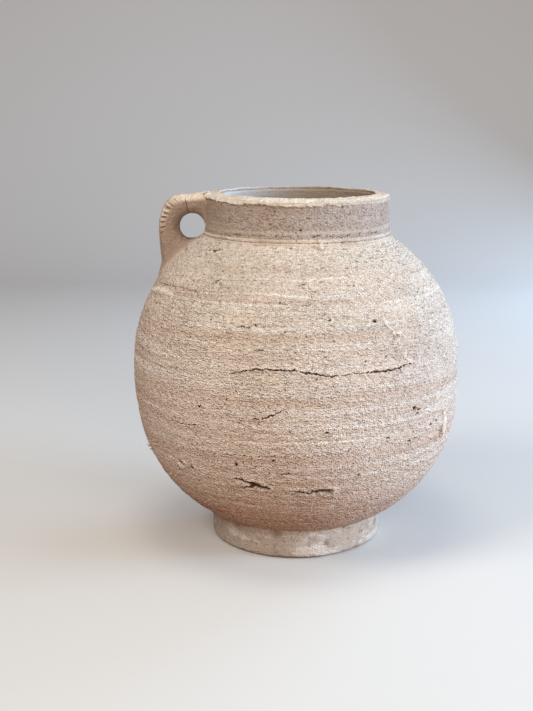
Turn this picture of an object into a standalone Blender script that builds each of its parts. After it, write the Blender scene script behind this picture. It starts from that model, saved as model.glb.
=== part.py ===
"""Hand-thrown clay jug vase, put together from luted pieces. Metres, +Z up, handle at -X."""

import math

import bmesh
import bpy
from mathutils import Vector

# Driving dimensions, in metres unless noted
BELLY_RADIUS = 0.1002
BOWL_DROP = 0.1048  # from the widest ring down to where the bowl's curve would close
BOWL_FULLNESS = 2.50  # exponent: 2 is an ellipse, more is squarer
DOME_RISE = 0.0947  # from the widest ring up to where the dome's curve would close
DOME_FULLNESS = 2.13  # exponent
BODY_WALL = 0.007
FLOOR_THICKNESS = 0.009
BASE_LEDGE = 0.0105  # of curved bottom left between the trimmed flat base and the foot ring
SEAM_RISE = 0.0159  # of the joint between bowl and dome above the widest ring, on the outside
SEAM_BEVEL = 0.004  # how far the joint climbs on its way through the wall
FOOT_RADIUS = 0.0529
FOOT_HEIGHT = 0.0177  # from the table to the bowl, at the ring's outside
FOOT_WALL = 0.0115
FOOT_EDGE = 0.0016  # rounding of the ring's lower edges
NECK_RADIUS = 0.0555
NECK_WALL = 0.008
NECK_HEIGHT = 0.0262  # from the dome to the crest of the lip
NECK_BEAD = 0.0010  # how far the squeezed-out slip stands off the neck
NECK_BEAD_HEIGHT = 0.0040
RIM_HEIGHT = 0.0062  # of the flattened coil
RIM_FALL = 0.0036  # from the crest down to the lip's outer edge
RIM_OVERHANG = 0.0005
RIM_ROUNDING = 0.0016
LOOP_WIDTH = 0.0158  # clear space between neck and handle
HANDLE_THICKNESS = 0.0118
HANDLE_WIDTH = 0.0150
HANDLE_BEND = 0.0120  # radius of the bend, on the centre line
HANDLE_DROP = 0.0012  # from the crest of the lip down to the handle's top
LUG_FLARE = 0.0140  # growth of the lug's underside towards the mouth
LUG_RISE = 0.0026  # of the lug's top towards the mouth, where it is smeared over the lip
PAD_FLARE = 0.0085  # growth of the pad towards the shoulder
PAD_RISE = 0.0060  # of the pad's top above the shoulder
SLIP = 0.0008  # thickness of a layer of joining slip
GAP = 0.0003  # clearance between touching pieces

SEGMENTS = 48  # round the axis
SECTION_SIDES = 16  # round the handle
CURVE_STEPS = 10  # along each of the body's curves
SEAT_STEPS = 4  # across the foot ring's seat
ARC_STEPS = 4

# Sizes that follow from these
NECK_BORE = NECK_RADIUS - NECK_WALL
FOOT_BORE = FOOT_RADIUS - FOOT_WALL
SEAT_RADIUS = NECK_RADIUS + NECK_BEAD + 2 * GAP
HANDLE_X = -(NECK_RADIUS + LOOP_WIDTH + HANDLE_THICKNESS / 2)
JOINT = SLIP + 2 * GAP  # space between two pieces that are luted together


def depth_below_belly(radius):
    """How far under the widest ring the bowl's outside has this radius."""
    return BOWL_DROP * (1 - (radius / BELLY_RADIUS) ** 2) ** (1 / BOWL_FULLNESS)


def rise_above_belly(radius):
    """How far over the widest ring the dome's outside has this radius."""
    return DOME_RISE * (1 - (radius / BELLY_RADIUS) ** 2) ** (1 / DOME_FULLNESS)


# Heights above the table
BELLY_HEIGHT = FOOT_HEIGHT + depth_below_belly(FOOT_RADIUS)
BASE_HEIGHT = BELLY_HEIGHT - depth_below_belly(FOOT_BORE - BASE_LEDGE)
SEAM_HEIGHT = BELLY_HEIGHT + SEAM_RISE
SEAT_HEIGHT = BELLY_HEIGHT + rise_above_belly(SEAT_RADIUS)  # of the ledge that carries the neck
CROWN_HEIGHT = BELLY_HEIGHT + DOME_RISE - GAP  # just under where the dome's curve would close
COLLAR_BASE = SEAT_HEIGHT + JOINT
RIM_TOP = SEAT_HEIGHT + NECK_HEIGHT
RIM_BASE = RIM_TOP - RIM_HEIGHT
COLLAR_TOP = RIM_BASE - JOINT
HANDLE_Z = RIM_TOP - HANDLE_DROP - HANDLE_THICKNESS / 2  # centre line of the lug
PAD_TOP = BELLY_HEIGHT + rise_above_belly(NECK_RADIUS + LOOP_WIDTH) + PAD_RISE


def curve_angle(z):
    """Angle that runs evenly along the body's curve: 0 at the belly, 90 degrees at the crown."""
    if z < BELLY_HEIGHT:
        return -math.asin(((BELLY_HEIGHT - z) / BOWL_DROP) ** (BOWL_FULLNESS / 2))
    return math.asin(((z - BELLY_HEIGHT) / DOME_RISE) ** (DOME_FULLNESS / 2))


def curve_height(angle):
    """Height at this angle of the body's curve."""
    if angle < 0:
        return BELLY_HEIGHT - BOWL_DROP * math.sin(-angle) ** (2 / BOWL_FULLNESS)
    return BELLY_HEIGHT + DOME_RISE * math.sin(angle) ** (2 / DOME_FULLNESS)


def body_radius(z):
    """Outer radius of bowl and dome at height z."""
    return BELLY_RADIUS * math.cos(curve_angle(z))


def body_offset(z, distance):
    """Point (radius, height) at a distance outside the body's curve, square to it at z."""
    step = 1e-5
    slope = (body_radius(z + step) - body_radius(z - step)) / (2 * step)
    length = math.hypot(1.0, slope)
    return body_radius(z) + distance / length, z - distance * slope / length


def solve(function, target, low, high):
    """Value between low and high at which a rising or falling function meets the target."""
    rising = function(high) > function(low)
    for _ in range(60):
        middle = (low + high) / 2
        if (function(middle) < target) == rising:
            low = middle
        else:
            high = middle
    return (low + high) / 2


def spread(low, high, count):
    """Evenly spaced values, both ends included."""
    return [low + (high - low) * index / (count - 1) for index in range(count)]


def body_levels(low, high, count):
    """Heights from low to high, evenly spaced along the body's curve."""
    return [curve_height(angle) for angle in spread(curve_angle(low), curve_angle(high), count)]


def under_bowl(radius, distance):
    """Point under the bowl with this radius, at a distance from its outside."""
    z = solve(lambda level: body_offset(level, distance)[0], radius, BASE_HEIGHT, BELLY_HEIGHT)
    return radius, body_offset(z, distance)[1]


def wall_level(height):
    """Level on the outside that lies square across the wall from the inner face at this height."""
    return solve(lambda level: body_offset(level, -BODY_WALL)[1], height, BASE_HEIGHT, CROWN_HEIGHT)


def wall_inside(low, high, count):
    """Points of the body's inner face between two heights."""
    return [body_offset(z, -BODY_WALL) for z in body_levels(wall_level(low), wall_level(high), count)]


def arc(centre, radius, start, end):
    """Points of an arc in the (radius, height) plane, angles in degrees."""
    angles = [math.radians(angle) for angle in spread(start, end, ARC_STEPS)]
    return [(centre[0] + radius * math.cos(a), centre[1] + radius * math.sin(a)) for a in angles]


def clay(name, colour, roughness):
    """Fired clay with a linear base colour."""
    material = bpy.data.materials.new(name)
    material.use_nodes = True
    shader = material.node_tree.nodes["Principled BSDF"]
    shader.inputs["Base Color"].default_value = (*colour, 1.0)
    shader.inputs["Roughness"].default_value = roughness
    shader.inputs["Metallic"].default_value = 0.0
    return material


def finish(name, mesh_data, material):
    """Turn a bmesh into a named object with outward faces and smooth shading."""
    bmesh.ops.recalc_face_normals(mesh_data, faces=mesh_data.faces)
    mesh = bpy.data.meshes.new(name)
    mesh_data.to_mesh(mesh)
    mesh_data.free()
    mesh.materials.append(material)
    mesh.shade_smooth()
    mesh.set_sharp_from_angle(angle=math.radians(40))
    piece = bpy.data.objects.new(name, mesh)
    bpy.context.scene.collection.objects.link(piece)
    return piece


def turned(name, outline, material, closed=True):
    """Spin an outline of (radius, height) points round the axis."""
    mesh_data = bmesh.new()
    points = [mesh_data.verts.new((radius, 0.0, height)) for radius, height in outline]
    ends = points[1:] + points[:1] if closed else points[1:]
    edges = [mesh_data.edges.new(pair) for pair in zip(points, ends)]
    bmesh.ops.spin(
        mesh_data,
        geom=points + edges,
        cent=(0.0, 0.0, 0.0),
        axis=(0.0, 0.0, 1.0),
        angle=math.tau,
        steps=SEGMENTS,
        use_duplicate=False,
    )
    bmesh.ops.remove_doubles(mesh_data, verts=mesh_data.verts, dist=1e-6)
    return finish(name, mesh_data, material)


def lofted(name, sections, material):
    """Join oval sections, each a list of points, into one closed roll."""
    mesh_data = bmesh.new()
    rings = [[mesh_data.verts.new(point) for point in section] for section in sections]
    for ring, following in zip(rings, rings[1:]):
        for index in range(SECTION_SIDES):
            beside = (index + 1) % SECTION_SIDES
            mesh_data.faces.new((ring[index], ring[beside], following[beside], following[index]))
    mesh_data.faces.new(rings[0])
    mesh_data.faces.new(rings[-1])
    return finish(name, mesh_data, material)


def oval(centre, along, half_thickness, half_width):
    """Section of the handle: half_thickness runs in the plane of the handle, half_width across it."""
    across = Vector((0.0, 1.0, 0.0))
    outward = across.cross(along).normalized()
    angles = [math.tau * index / SECTION_SIDES for index in range(SECTION_SIDES)]
    return [centre + outward * half_thickness * math.cos(a) + across * half_width * math.sin(a) for a in angles]


def cut(piece, cutter):
    """Trim a piece to the face of its neighbour."""
    cutter.hide_render = True
    cutter.display_type = "WIRE"
    trim = piece.modifiers.new("Trim", "BOOLEAN")
    trim.operation = "DIFFERENCE"
    trim.object = cutter


def make_foot_ring(material):
    outline = arc((FOOT_BORE + FOOT_EDGE, FOOT_EDGE), FOOT_EDGE, 180, 270)
    outline += arc((FOOT_RADIUS - FOOT_EDGE, FOOT_EDGE), FOOT_EDGE, -90, 0)
    outline += [under_bowl(radius, JOINT) for radius in spread(FOOT_RADIUS, FOOT_BORE, SEAT_STEPS)]
    return turned("foot_ring", outline, material)


def make_foot_slip(material):
    radii = spread(FOOT_RADIUS, FOOT_BORE, SEAT_STEPS)
    upper = [under_bowl(radius, GAP) for radius in radii]
    lower = [under_bowl(radius, GAP + SLIP) for radius in radii]
    return turned("foot_slip", lower + upper[::-1], material)


def seam_line(shift):
    """Outer and inner end of a line through the belly seam, moved up by shift."""
    height = SEAM_HEIGHT + shift
    inner = body_offset(wall_level(height + SEAM_BEVEL), -BODY_WALL)
    return (body_radius(height), height), inner


def make_lower_bowl(material):
    outer_edge, inner_edge = seam_line(-JOINT / 2)
    floor = BASE_HEIGHT + FLOOR_THICKNESS
    seat = [under_bowl(radius, 0.0) for radius in spread(FOOT_BORE, FOOT_RADIUS, SEAT_STEPS)]
    side = [(body_radius(z), z) for z in body_levels(FOOT_HEIGHT, outer_edge[1], CURVE_STEPS)]
    inside = wall_inside(inner_edge[1], floor, CURVE_STEPS)
    outline = [(0.0, BASE_HEIGHT), (FOOT_BORE - BASE_LEDGE, BASE_HEIGHT)] + seat + side[1:] + inside
    return turned("lower_bowl", outline + [(0.0, floor)], material, closed=False)


def make_belly_slip(material):
    lower = seam_line(-SLIP / 2)
    upper = seam_line(SLIP / 2)
    return turned("belly_slip", [lower[1], lower[0], upper[0], upper[1]], material)


def make_shoulder_dome(material):
    outer_edge, inner_edge = seam_line(JOINT / 2)
    outer = [(body_radius(z), z) for z in body_levels(outer_edge[1], SEAT_HEIGHT, CURVE_STEPS)]
    bore_level = solve(lambda level: body_offset(level, -BODY_WALL)[0], NECK_BORE, SEAM_HEIGHT, CROWN_HEIGHT)
    inside = wall_inside(body_offset(bore_level, -BODY_WALL)[1], inner_edge[1], CURVE_STEPS)
    return turned("shoulder_dome", outer + [(NECK_BORE, SEAT_HEIGHT)] + inside, material)


def make_neck_slip(material):
    base = SEAT_HEIGHT + GAP
    bead = NECK_RADIUS + GAP
    outline = [(NECK_BORE, base), (bead + NECK_BEAD, base)]
    outline += [(bead + NECK_BEAD, base + NECK_BEAD_HEIGHT * 0.5), (bead, base + NECK_BEAD_HEIGHT)]
    outline += [(bead, base + SLIP), (NECK_BORE, base + SLIP)]
    return turned("neck_slip", outline, material)


def make_neck_collar(material):
    outline = [(NECK_BORE, COLLAR_BASE), (NECK_RADIUS, COLLAR_BASE)]
    outline += [(NECK_RADIUS, COLLAR_TOP), (NECK_BORE, COLLAR_TOP)]
    return turned("neck_collar", outline, material)


def make_rim_slip(material):
    base = COLLAR_TOP + GAP
    outline = [(NECK_BORE, base), (NECK_RADIUS, base), (NECK_RADIUS, base + SLIP), (NECK_BORE, base + SLIP)]
    return turned("rim_slip", outline, material)


def lip_face(clearance):
    """The lip's outer side and sloping top, from below, moved out by a clearance."""
    edge = NECK_RADIUS + RIM_OVERHANG + clearance
    shoulder = RIM_TOP - RIM_FALL + clearance
    crest = NECK_BORE + RIM_ROUNDING
    return [(edge, RIM_BASE - clearance), (edge, shoulder - RIM_ROUNDING / 2),
            (edge - RIM_ROUNDING / 2, shoulder), (crest, RIM_TOP + clearance)]


def make_rim_coil(material):
    outline = [(NECK_BORE, RIM_BASE)] + lip_face(0.0)
    outline += arc((NECK_BORE + RIM_ROUNDING, RIM_TOP - RIM_ROUNDING), RIM_ROUNDING, 90, 180)[1:]
    return turned("rim_coil", outline, material)


def make_handle_lug(material):
    start = HANDLE_X + HANDLE_BEND + GAP / 2  # parted from the bow by the gap
    reach = -NECK_BORE - RIM_ROUNDING - start
    sections = []
    for share in spread(0.0, 1.0, 6):
        below = LUG_FLARE * share ** 2
        above = LUG_RISE * share ** 2
        centre = Vector((start + reach * share, 0.0, HANDLE_Z + (above - below) / 2))
        half_thickness = (HANDLE_THICKNESS + above + below) / 2
        half_width = (HANDLE_WIDTH + below) / 2
        sections.append(oval(centre, Vector((1.0, 0.0, 0.0)), half_thickness, half_width))
    lug = lofted("handle_lug", sections, material)
    below = HANDLE_Z - HANDLE_THICKNESS - LUG_FLARE
    side = [(0.0, below), (NECK_RADIUS + GAP, below), (NECK_RADIUS + GAP, RIM_BASE - GAP)]
    outline = side + lip_face(GAP) + [(0.0, RIM_TOP + GAP)]
    cut(lug, turned("neck_face_cutter", outline, material, closed=False))
    return lug


def make_handle_bow(material):
    corner = Vector((HANDLE_X + HANDLE_BEND, 0.0, HANDLE_Z - HANDLE_BEND))
    sections = []
    for angle in spread(90.0, 180.0, 8):
        turn = math.radians(angle)
        centre = corner + HANDLE_BEND * Vector((math.cos(turn), 0.0, math.sin(turn)))
        along = Vector((-math.sin(turn), 0.0, math.cos(turn)))
        sections.append(oval(centre - Vector((GAP / 2, 0.0, 0.0)) * math.sin(turn), along,
                             HANDLE_THICKNESS / 2, HANDLE_WIDTH / 2))
    end = Vector((HANDLE_X, 0.0, PAD_TOP + GAP))
    sections.append(oval(end, Vector((0.0, 0.0, -1.0)), HANDLE_THICKNESS / 2, HANDLE_WIDTH / 2))
    return lofted("handle_bow", sections, material)


def make_handle_pad(material):
    toe = BELLY_HEIGHT + rise_above_belly(-HANDLE_X + HANDLE_THICKNESS)
    depth = PAD_TOP - toe + PAD_FLARE  # into the shoulder
    sections = []
    for share in spread(0.0, 1.0, 6):
        growth = PAD_FLARE * share ** 1.5
        centre = Vector((HANDLE_X + growth * 0.4, 0.0, PAD_TOP - depth * share))
        half_thickness = HANDLE_THICKNESS / 2 + growth * 0.5
        sections.append(oval(centre, Vector((0.0, 0.0, -1.0)), half_thickness, HANDLE_WIDTH / 2 + growth * 0.7))
    pad = lofted("handle_pad", sections, material)
    face = [body_offset(z, GAP) for z in body_levels(BELLY_HEIGHT, SEAT_HEIGHT, CURVE_STEPS * 2)]
    outline = [(0.0, BELLY_HEIGHT)] + face + [(0.0, SEAT_HEIGHT + GAP)]
    cut(pad, turned("shoulder_face_cutter", outline, material, closed=False))
    return pad


def main():
    for old in list(bpy.data.objects):
        bpy.data.objects.remove(old, do_unlink=True)
    body_clay = clay("fired_clay", (0.56, 0.42, 0.32), 0.9)
    foot_clay = clay("scraped_clay", (0.62, 0.53, 0.45), 0.85)
    lip_clay = clay("pale_clay", (0.66, 0.55, 0.43), 0.85)
    handle_clay = clay("smoothed_clay", (0.50, 0.37, 0.27), 0.75)
    slip_clay = clay("dried_slip", (0.45, 0.34, 0.26), 0.95)
    pieces = [
        make_foot_ring(foot_clay),
        make_foot_slip(slip_clay),
        make_lower_bowl(body_clay),
        make_belly_slip(slip_clay),
        make_shoulder_dome(body_clay),
        make_neck_slip(slip_clay),
        make_neck_collar(body_clay),
        make_rim_slip(slip_clay),
        make_rim_coil(lip_clay),
        make_handle_lug(handle_clay),
        make_handle_bow(handle_clay),
        make_handle_pad(handle_clay),
    ]
    vase = bpy.data.objects.new("jug_vase", None)
    bpy.context.scene.collection.objects.link(vase)
    for piece in pieces:
        piece.parent = vase


main()
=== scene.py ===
import math
from contextlib import contextmanager
from functools import partial

import bmesh
import bpy
import numpy as np
from mathutils import Matrix, Vector
from mathutils.kdtree import KDTree


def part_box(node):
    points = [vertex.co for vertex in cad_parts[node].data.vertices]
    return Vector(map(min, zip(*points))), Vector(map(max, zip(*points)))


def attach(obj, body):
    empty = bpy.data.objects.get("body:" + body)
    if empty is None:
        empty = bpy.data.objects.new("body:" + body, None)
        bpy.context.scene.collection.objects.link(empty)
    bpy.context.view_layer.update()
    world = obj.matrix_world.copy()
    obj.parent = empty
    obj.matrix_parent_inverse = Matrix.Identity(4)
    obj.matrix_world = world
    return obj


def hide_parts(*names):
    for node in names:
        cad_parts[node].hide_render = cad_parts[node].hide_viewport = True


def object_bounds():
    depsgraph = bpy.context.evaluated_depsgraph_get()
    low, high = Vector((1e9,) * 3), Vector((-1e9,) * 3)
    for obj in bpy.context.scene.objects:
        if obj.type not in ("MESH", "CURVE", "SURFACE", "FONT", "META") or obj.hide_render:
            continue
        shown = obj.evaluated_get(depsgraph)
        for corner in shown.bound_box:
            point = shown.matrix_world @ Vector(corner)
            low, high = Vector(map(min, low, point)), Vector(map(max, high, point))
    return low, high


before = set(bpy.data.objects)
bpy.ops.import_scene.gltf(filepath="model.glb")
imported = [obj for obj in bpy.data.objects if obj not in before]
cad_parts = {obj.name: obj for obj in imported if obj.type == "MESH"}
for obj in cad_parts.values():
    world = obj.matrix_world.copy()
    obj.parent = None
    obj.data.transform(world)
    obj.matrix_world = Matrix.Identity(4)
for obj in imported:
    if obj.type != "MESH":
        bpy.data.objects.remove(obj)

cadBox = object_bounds()
mm = 0.001
print("frame loaded:", len(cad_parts), "nodes")


# Small helpers

def linear(code):
    parts = [int(code[i:i + 2], 16) / 255 for i in (1, 3, 5)]
    return (*[c / 12.92 if c <= 0.04045 else ((c + 0.055) / 1.055) ** 2.4 for c in parts], 1.0)


def addNode(tree, kind, settings=None, links=None):
    node = tree.nodes.new(kind)
    for name, value in (settings or {}).items():
        setattr(node, name, value)
    for key, value in (links or {}).items():
        if isinstance(value, bpy.types.NodeSocket):
            tree.links.new(value, node.inputs[key])
        else:
            node.inputs[key].default_value = value
    return node


def mathNode(tree, kind, *values):
    return addNode(tree, "ShaderNodeMath", {"operation": kind}, dict(enumerate(values))).outputs[0]


def vectorNode(tree, kind, first, second):
    key = "Scale" if kind == "SCALE" else 1
    return addNode(tree, "ShaderNodeVectorMath", {"operation": kind}, {0: first, key: second}).outputs[0]


def spanNode(tree, value, low, high, least=0.0, most=1.0, soft=False):  # low to high becomes least to most
    return addNode(tree, "ShaderNodeMapRange", {"interpolation_type": "SMOOTHSTEP" if soft else "LINEAR"},
                   {"Value": value, "From Min": low, "From Max": high,
                    "To Min": least, "To Max": most}).outputs[0]


def noiseNode(tree, vector, scale, detail, roughness=0.5, signed=True):
    return addNode(tree, "ShaderNodeTexNoise", {"normalize": not signed},
                   {"Vector": vector, "Scale": scale, "Detail": detail, "Roughness": roughness}).outputs


def mixNode(tree, share, first, second, blend="MIX"):
    return addNode(tree, "ShaderNodeMix", {"data_type": "RGBA", "blend_type": blend},
                   {0: share, 6: first, 7: second}).outputs[2]


def newMaterial(name):
    material = bpy.data.materials.new(name)
    material.use_nodes = True
    return material, material.node_tree, material.node_tree.nodes["Principled BSDF"]


def newObject(name, data):
    piece = bpy.data.objects.new(name, data)
    bpy.context.scene.collection.objects.link(piece)
    return piece


def storeValues(mesh, name, values):  # a number or a direction for each point
    values = np.asarray(values, np.float32)
    kind, key = ("FLOAT_VECTOR", "vector") if values.ndim > 1 else ("FLOAT", "value")
    mesh.attributes.new(name, kind, "POINT").data.foreach_set(key, values.ravel())


@contextmanager
def editing(mesh):  # a mesh's points and faces, put back when done
    work = bmesh.new()
    work.from_mesh(mesh)
    yield work
    work.to_mesh(mesh)
    work.free()


def ramp(value, start, end):  # 0 up to the start, 1 from the end on
    return np.clip((value - start) / (end - start), 0, 1)


def smoothSteps(points, at, reach):  # soft curve through a few (place, value) points
    places, values = np.array(points, float).T
    fine = np.linspace(places[0], places[-1], 400)
    curve = np.interp(fine, places, values)
    padded = np.concatenate([np.full(reach, curve[0]), curve, np.full(reach, curve[-1])])
    bell = np.hanning(2 * reach + 3)[1:-1]
    return np.interp(at, fine, np.convolve(padded, bell / bell.sum(), "valid"))


def uneven(angles, seed, knots, size, soft=True):  # random but fixed line round the axis
    values = np.random.default_rng(seed).normal(0, size, knots)
    place = (angles / math.tau) % 1 * knots
    low = np.floor(place).astype(int)
    share = place - low
    if soft:
        share = share * share * (3 - 2 * share)
    return values[low % knots] * (1 - share) + values[(low + 1) % knots] * share


def hump(angles, middle, spread):  # soft hump at an angle, both in degrees from the front
    away = (np.degrees(angles) - middle + 180) % 360 - 180
    return np.exp(-0.5 * (away / spread) ** 2)


def unevenSum(angles, layers):
    return sum(uneven(angles, *layer) for layer in layers)


# The vase's form, from the frame and from what the photo shows of its curve

form = {
    "bellyRadius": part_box("lower_bowl")[1].x - 0.30 * mm,  # the skin's grit takes up the rest
    "seamHeight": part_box("belly_slip")[0].z + 0.4 * mm,
    "bellyBelowSeam": 15.9 * mm,
    "bowlDrop": 104.8 * mm, "bowlFullness": 2.50,
    "domeRise": 94.7 * mm, "domeFullness": 2.13,
    "wall": 7.0 * mm, "floor": 9.0 * mm,
    "baseHeight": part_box("lower_bowl")[0].z,
    "seatHeight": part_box("shoulder_dome")[1].z,
    "footRadius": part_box("foot_ring")[1].x, "footTop": 18.5 * mm,
    "neckRadius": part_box("neck_collar")[1].x, "neckBore": 47.4 * mm, "mouthRadius": 46.2 * mm,
    "rimTop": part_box("rim_coil")[1].z,
    "neckLean": 1.0 * mm,  # the neck sits a little off the body's axis
    # the body leans too: height and shift to the right in mm
    "bodyLean": [(0, 0.0), (22, 0.2), (40, 0.5), (60, 0.6), (75, 0.7), (88, 0.6), (100, 0.1), (140, 0.0),
                 (165, -0.25)],
    "swell": (80.0, 22.0, 68 * mm, 9 * mm, 1.1 * mm),  # low right: degrees, spread, height, spread, size
}
form["bellyHeight"] = form["seamHeight"] - form["bellyBelowSeam"]


def bodyRadius(z):
    z = np.asarray(z, float)
    down = np.clip((form["bellyHeight"] - z) / form["bowlDrop"], 0, 1) ** form["bowlFullness"]
    up = np.clip((z - form["bellyHeight"]) / form["domeRise"], 0, 1) ** form["domeFullness"]
    return form["bellyRadius"] * np.sqrt(1 - np.maximum(down, up))


def bodySlope(z):
    step = 0.02 * mm
    return (bodyRadius(z + step) - bodyRadius(z - step)) / (2 * step)


def bodyCurve(low, high, spacing):  # points and outward directions, evenly spaced along the curve
    fine = np.linspace(low, high, 4000)
    radii = bodyRadius(fine)
    length = np.concatenate([[0], np.cumsum(np.hypot(np.diff(radii), np.diff(fine)))])
    count = max(2, round(length[-1] / spacing) + 1)
    heights = np.interp(np.linspace(0, length[-1], count), length, fine)
    slope = bodySlope(heights)
    size = np.hypot(1, slope)
    return list(zip(bodyRadius(heights), heights, 1 / size, -slope / size))


def insideCurve(low, high, spacing):  # the same, across the wall
    fine = 0.5 * mm
    points = [(r - nr * form["wall"], z - nz * form["wall"], -nr, -nz) for r, z, nr, nz in
              bodyCurve(form["baseHeight"], form["seatHeight"] + 4 * mm, fine)]
    kept = [p for p in points if low <= p[1] <= high]
    return kept[::max(1, round(spacing / fine))]


def around(columns, frontShare=0.22):  # angles from the front, closer together in front
    turn = np.linspace(-math.pi, math.pi, columns, endpoint=False)
    return turn - frontShare * np.sin(turn)


def ring(angles, radius, height, outR=1.0, outZ=0.0, skin=1.0):  # one row of a turned skin
    radius = np.broadcast_to(radius, angles.shape)
    height = np.broadcast_to(height, angles.shape)
    side = np.stack([np.sin(angles), -np.cos(angles)], 1)
    points = np.column_stack([side * radius[:, None], height])
    out = np.column_stack([side * outR, np.full(len(angles), outZ)])
    return points, out, np.full(len(angles), skin)


def bodyShift(angles, z):  # how far the body is from a true turned form: outwards, to the right
    at, spread, height, tall, size = form["swell"]
    swell = size * hump(angles, at, spread) * np.exp(-0.5 * ((z - height) / tall) ** 2)
    return swell, np.interp(z / mm, *np.array(form["bodyLean"]).T) * mm


def bodyRing(angles, radius, height, outR, outZ, skin=1.0):
    swell, lean = bodyShift(angles, height)
    points, out, weight = ring(angles, radius + swell, height, outR, outZ, skin)
    return points + (lean, 0, 0), out, weight


def skinMesh(name, rows, closed=False):  # a row has as many columns as its neighbour or a whole share of them
    starts = np.cumsum([0] + [len(row[0]) for row in rows])
    faces = []
    pairs = list(zip(range(len(rows)), range(1, len(rows))))
    if closed:
        pairs.append((len(rows) - 1, 0))
    for lower, upper in pairs:
        low = list(range(starts[lower], starts[lower + 1]))
        high = list(range(starts[upper], starts[upper + 1]))
        coarse = min(len(low), len(high))
        if coarse == 1:
            pole, loop = (low[0], high) if len(low) == 1 else (high[0], low[::-1])
            faces += [(pole, loop[(i + 1) % len(loop)], loop[i]) for i in range(len(loop))]
            continue
        a, b = len(low) // coarse, len(high) // coarse
        low.append(low[0])
        high.append(high[0])
        faces += [low[i * a:i * a + a + 1] + high[i * b:i * b + b + 1][::-1] for i in range(coarse)]
    mesh = bpy.data.meshes.new(name)
    mesh.from_pydata(np.concatenate([row[0] for row in rows]).tolist(), [], faces)
    storeValues(mesh, "outward", np.concatenate([row[1] for row in rows]))
    storeValues(mesh, "skin", np.concatenate([row[2] for row in rows]))
    return mesh


# Cracks, gashes and pits that the photo shows: degrees from the front, height in mm, half width in mm

scars = {
    "seamCrack": [(-21, 123.4, 0.3), (-17, 125.2, 0.5), (-13.7, 126.4, 0.62), (-9, 127.1, 0.62),
        (0, 126.6, 0.72), (7, 124.4, 0.6), (11.5, 123, 0.45), (17.7, 124, 0.35), (25, 124, 0.5),
        (29.3, 123.6, 0.75), (35, 124.3, 0.6), (38, 125.3, 0.5), (42.4, 125.9, 0.25)],
    "shortCrack": [(-13.9, 99.4, 0.3), (-10.7, 99.7, 0.5), (-7.5, 101.6, 0.6), (-3.8, 104.7, 0.35)],
    "lowGash": [(-22, 62, 0.8), (-17, 59.7, 1.4), (-13.5, 57.6, 2.3), (-8.9, 56.1, 0.6)],
    "gashBranch": [(-20.6, 54.8, 0.5), (-16.9, 57, 1.1), (-14.2, 58.2, 1.5)],
    "lowCrack": [(-2.5, 55.9, 0.8), (2.5, 54.6, 1.1), (4.7, 54.1, 0.9), (8.5, 55.7, 1.3),
        (11.8, 55.3, 2.1)],
    "hairline": [(-7.5, 65.7, 0.35), (-2.4, 67.4, 0.55)],
    "shortLine": [(-19, 96.3, 0.3), (-15.3, 96.9, 0.35)],
    "leftLine": [(-57, 91.2, 0.3), (-46, 90.4, 0.45), (-38.6, 90.6, 0.45), (-32.2, 92.2, 0.3)],
    "lowLine": [(-44.8, 75.2, 0.25), (-33.5, 76.1, 0.35), (-21.8, 76.8, 0.35), (-11.4, 77.3, 0.3),
        (-1.7, 78, 0.25), (11.3, 79, 0.3), (23.6, 79.2, 0.2)],
    "crease": [(-73.5, 162.8, 0.25), (-59.1, 164, 0.4), (-49.3, 164.4, 0.35), (-40, 163.9, 0.25)],
    "lipGap": [(-83.5, 210.2, 1.2), (-83.5, 213.2, 2.0)],
    "shoulderDent": [(-49.9, 183.8, 0.4), (-45.5, 184.2, 1.1), (-42.6, 185.5, 0.5)],
    "upperDash": [(-20.5, 148.4, 0.3), (-15.1, 148.4, 0.4)],
    "highDash": [(-20.3, 177.4, 0.3), (-17.5, 177.6, 0.4), (-15, 176.9, 0.3)],
    "smearDash": [(1.6, 160, 0.35), (5.6, 160.2, 0.3)],
    "midDash": [(-13.7, 136.5, 0.3), (-10.4, 137, 0.4)],
    "scratch": [(-41.9, 62.2, 0.8), (-38, 60.4, 0.5), (-34.1, 58.8, 0.3)],
    "flake": [(31.8, 147.8, 0.2), (33.2, 144, 0.3), (35, 141.6, 0.35), (38.6, 141.9, 0.25)],
    "neckLine": [(-64, 190.8, 0.3), (-30, 191, 0.4), (0, 191.1, 0.4), (40, 191.1, 0.35)],
    "neckTop": [(-64, 193.3, 0.3), (-30, 193.5, 0.38), (0, 193.6, 0.4), (40, 193.6, 0.38),
        (64, 193.4, 0.3)],
    "sideGouge": [(59.4, 75.6, 1.2), (59, 78.4, 2.6), (59.4, 81, 1.4)],
}
pits = {  # degrees from the front, height in mm: half width in mm
    (-44.8, 64.1): 1.9, (-39.5, 63.0): 1.3, (-20.4, 70.8): 0.9, (-7.5, 75.3): 0.8, (28.4, 150.4): 1.1,
    (11.9, 152.5): 0.75, (42, 99.2): 1.5, (44.4, 98): 0.8, (43.5, 95.8): 0.7, (31.1, 85.2): 0.9,
    (55, 87.6): 1.1, (51.5, 86.5): 1.0, (59.9, 90.2): 1.1, (41.1, 80): 0.8, (43.4, 81.6): 0.8,
    (42.4, 64): 0.8, (49.2, 63.9): 0.9, (9.7, 91.9): 0.8, (-31.9, 103.3): 0.9, (21.6, 64.5): 0.8,
    (-13.5, 149.8): 0.5, (-33.7, 169.6): 0.6, (3.4, 170): 0.7, (63, 203): 0.9, (11.6, 188.6): 0.9,
    (-24, 199): 0.7, (-10, 200.5): 0.6, (2, 197): 0.7, (-34, 203): 0.6, (17, 201): 0.5, (52, 1.2): 1.5,
}
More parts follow.
